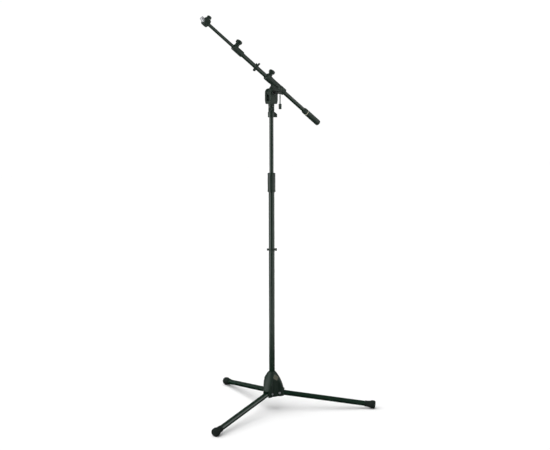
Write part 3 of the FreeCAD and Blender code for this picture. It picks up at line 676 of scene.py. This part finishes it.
def clamp():
    """Tilt clamp: hexagon nut, threaded bolt, washer, eye and the caps of its bar."""
    profile = fine(rounded([
        (0, -23.2), (3.4, -23.2, 0.2), (4.0, -22.6, 0.2), (4.0, 20.5), (4.6, 20.5, 0.1),
        (4.6, 54.6, 0.6), (4.0, 55.5), (0, 55.5)]), 0.25)
    lathe("clamp_bolt_turned", ACROSS, profile, "black_steel", "clamp_bolt", 60,
          thread(pitch=1.25, depth=0.5, low=-23.1, high=-8.0, radius=4.0))
    profile = fine(rounded([
        (4.3, -26.2), (6.3, -26.2, 0.3), (6.3, -24.9, 0.3), (7.5, -24.1, 0.3),
        (7.5, -20.9, 0.2), (7.4, -20.2, 0.2), (4.3, -20.2)]), 0.5)
    lathe("clamp_nut_hex", ACROSS, profile, "black_steel", "clamp_nut", 96,
          hexagon(6.45, 6.35), ring=True, crease=HARD_CREASE)
    profile = rounded([
        (4.6, 20.5), (9.2, 20.5, 0.3), (9.5, 20.9, 0.2), (9.5, 23.1, 0.5), (8.6, 24.0, 0.4),
        (4.6, 24.0)])
    lathe("clamp_washer_turned", ACROSS, fine(profile, 0.6), "black_steel", "clamp_washer", 96,
          ring=True)
    form = bmesh.new()
    turn(form, fine(rounded([
        (0, 55.5), (4.4, 55.5, 0.3), (6.0, 57.4, 0.6), (6.0, 63.6, 0.6), (4.6, 65.5, 0.5),
        (3.2, 65.5, 0.2), (2.8, 65.1, 0.2), (0, 65.1)]), 0.6), 96,
        knurl(count=36, depth=0.3, low=57.8, high=63.2, least=5.5))
    piece("clamp_bolt_eye_turned", ACROSS, form, "black_steel", ["clamp_bolt_eye"])
    cap = fine(rounded([
        (2.5, 0), (4.9, 0, 0.3), (5.7, 1.0, 0.5), (5.7, 12.0, 0.3), (5.2, 12.5, 0.2),
        (5.2, 13.3, 0.2), (5.7, 13.8, 0.3), (5.7, 14.8, 0.3), (5.2, 15.3, 0.2),
        (5.2, 16.1, 0.2), (5.7, 16.6, 0.3), (5.7, 18.6, 0.9), (4.3, BAR_CAP_LEN, 0.8),
        (0, BAR_CAP_LEN), (0, 16.0), (2.5, 16.0)]), 0.8)
    ribs = flutes(count=12, depth=0.3, low=1.8, high=11.6, fade=1.5, least=5.1)
    above = EYE_R + BAR_CAP_GAP
    below = EYE_R + 2 * BAR_CAP_LEN - BAR_LEN
    turned_over = Matrix.Rotation(math.pi, 4, "X")
    upper = EYE @ Matrix.Translation((0, 0, above * MM))
    lower = EYE @ Matrix.Translation((0, 0, below * MM)) @ turned_over
    for name, place in (("upper", upper), ("lower", lower)):
        lathe("tommy_bar_cap_%s_moulded" % name, place, cap, "plastic",
              "tommy_bar_cap_" + name, 72, ribs, ring=True)


def weight():
    """Counterweight end: a stepped collar, an ivory ring and the coated weight."""
    profile = fine(rounded([
        (8.0, -174.0), (11.4, -174.0, 0.3), (11.6, -172.6, 0.4), (11.6, -163.6, 0.8),
        (10.8, -161.8, 0.8), (10.8, -159.4, 0.5), (10.0, -158.0, 0.5), (8.0, -158.0)]), 0.8)
    lathe("weight_collar_turned", BOOM, profile, "casting", "weight_collar", ring=True)
    profile = rounded([(0, -177.0), (11.3, -177.0, 0.4), (11.3, -174.0, 0.4), (0, -174.0)])
    lathe("weight_ring_moulded", BOOM, fine(profile, 0.8), "ring", "weight_ring")
    profile = fine(rounded([
        (0, -246.5), (7.7, -246.5, 1.0), (10.5, -245.1, 0.8), (11.6, -242.1, 1.2),
        (11.6, -178.2, 0.4), (11.1, -177.0, 0.3), (0, -177.0)]), 1.5)
    lathe("counterweight_coated", BOOM, profile, "casting", "counterweight")


RIGHT_LEG_TURN, FACET_TURN, FACET_LEAN = -33.5, 52.0, 30.0
LABEL_SIDE, LABEL_THICK = 18.5, 0.8
LABEL_CORNER, LABEL_CORNER_STEPS = 1.2, 4


def label_outline():
    """Points round a square with rounded corners."""
    spots = []
    reach = LABEL_SIDE / 2 - LABEL_CORNER
    for quarter in range(4):
        sign_x = 1 if quarter in (0, 3) else -1
        sign_y = 1 if quarter in (0, 1) else -1
        for k in range(LABEL_CORNER_STEPS + 1):
            angle = math.pi / 2 * (quarter + k / LABEL_CORNER_STEPS)
            spots.append((reach * sign_x + LABEL_CORNER * math.cos(angle),
                          reach * sign_y + LABEL_CORNER * math.sin(angle)))
    return spots


def label():
    """Diamond label: a thin plate with a raised rim and a fine inner line, left blank."""
    spin = math.radians(RIGHT_LEG_TURN - FACET_TURN)
    lean = math.radians(90.0 - FACET_LEAN)
    turn_to = Matrix.Rotation(spin, 4, "Z") @ Matrix.Rotation(lean, 4, "Y") @ Matrix.Rotation(
        math.pi / 4, 4, "Z")
    place = Matrix.Translation(centre("base_label")) @ turn_to
    top = LABEL_THICK / 2
    rows = [(1.0, -top), (1.0, top - 0.25), (0.975, top), (0.90, top),
            (0.885, top - 0.18), (0.80, top - 0.18), (0.79, top - 0.10),
            (0.765, top - 0.10), (0.755, top - 0.18), (0.0, top - 0.18)]
    form = bmesh.new()
    spots = label_outline()
    rings = []
    for scale, height in rows:
        if scale == 0:
            rings.append([form.verts.new((0, 0, height * MM))])
            continue
        rings.append([form.verts.new((x * scale * MM, y * scale * MM, height * MM))
                      for x, y in spots])
    form.faces.new(rings[0])
    for below, above in zip(rings, rings[1:]):
        for k in range(len(spots)):
            n = (k + 1) % len(spots)
            if len(above) == 1:
                form.faces.new((below[k], below[n], above[0]))
            else:
                form.faces.new((below[k], below[n], above[n], above[k]))
    piece("base_label_plate", place, form, "label", ["base_label"], crease=HARD_CREASE)


# ---------------------------------------------------------------- carried-over CAD nodes
# Voxel sizes in millimetres.
CAST = {"base_casting": 0.8, "swivel_fork": 0.5, "boom_holder": 0.5, "boom_front_clamp": 0.45}
MOULDED = {"pole_cable_clip": 0.28, "boom_cable_clip": 0.28, "top_cable_clip": 0.35}
KEPT = {
    "tube": ["lower_tube", "upper_tube", "boom_tube", "boom_rod"]
            + ["leg_%s_tube" % s for s in SIDES],
    "casting": ["leg_%s_knuckle" % s for s in SIDES],
    "black_steel": ["clutch_collar", "top_stud", "friction_disc_near", "friction_disc_far",
                    "holder_knob_screw", "front_knob_screw"],
    "plastic": ["pole_plug", "clutch_collet", "upper_tube_guide", "boom_rod_guide"],
    "chrome": ["tommy_bar"],
}


CAST_PASSES, MOULDED_PASSES = 6, 4
WELD_REACH = 0.01


def soften(node, voxel, passes):
    """Round the edges and hollows of a cast or moulded node, its own mesh left as it is."""
    thing = NODES[node]
    weld = thing.modifiers.new("weld", "WELD")
    weld.merge_threshold = WELD_REACH * MM
    remesh = thing.modifiers.new("remesh", "REMESH")
    remesh.mode = "VOXEL"
    remesh.voxel_size = voxel * MM
    remesh.use_smooth_shade = True
    smooth = thing.modifiers.new("smooth", "SMOOTH")
    smooth.factor = 0.5
    smooth.iterations = passes


def carried_over():
    """Materials for the CAD nodes that stay, and softer edges on the cast and moulded ones."""
    for slot, names in KEPT.items():
        for name in names:
            finish(NODES[name], slot, NODE_CREASE)
    for slot, group, passes in (("casting", CAST, CAST_PASSES),
                                ("plastic", MOULDED, MOULDED_PASSES)):
        for name, voxel in group.items():
            finish(NODES[name], slot, NODE_CREASE)
            soften(name, voxel, passes)


camera()
studio()
dark_cards()
floor()
knobs()
tip()
feet()
clutch()
hinge_hardware()
clamp()
weight()
label()
carried_over()
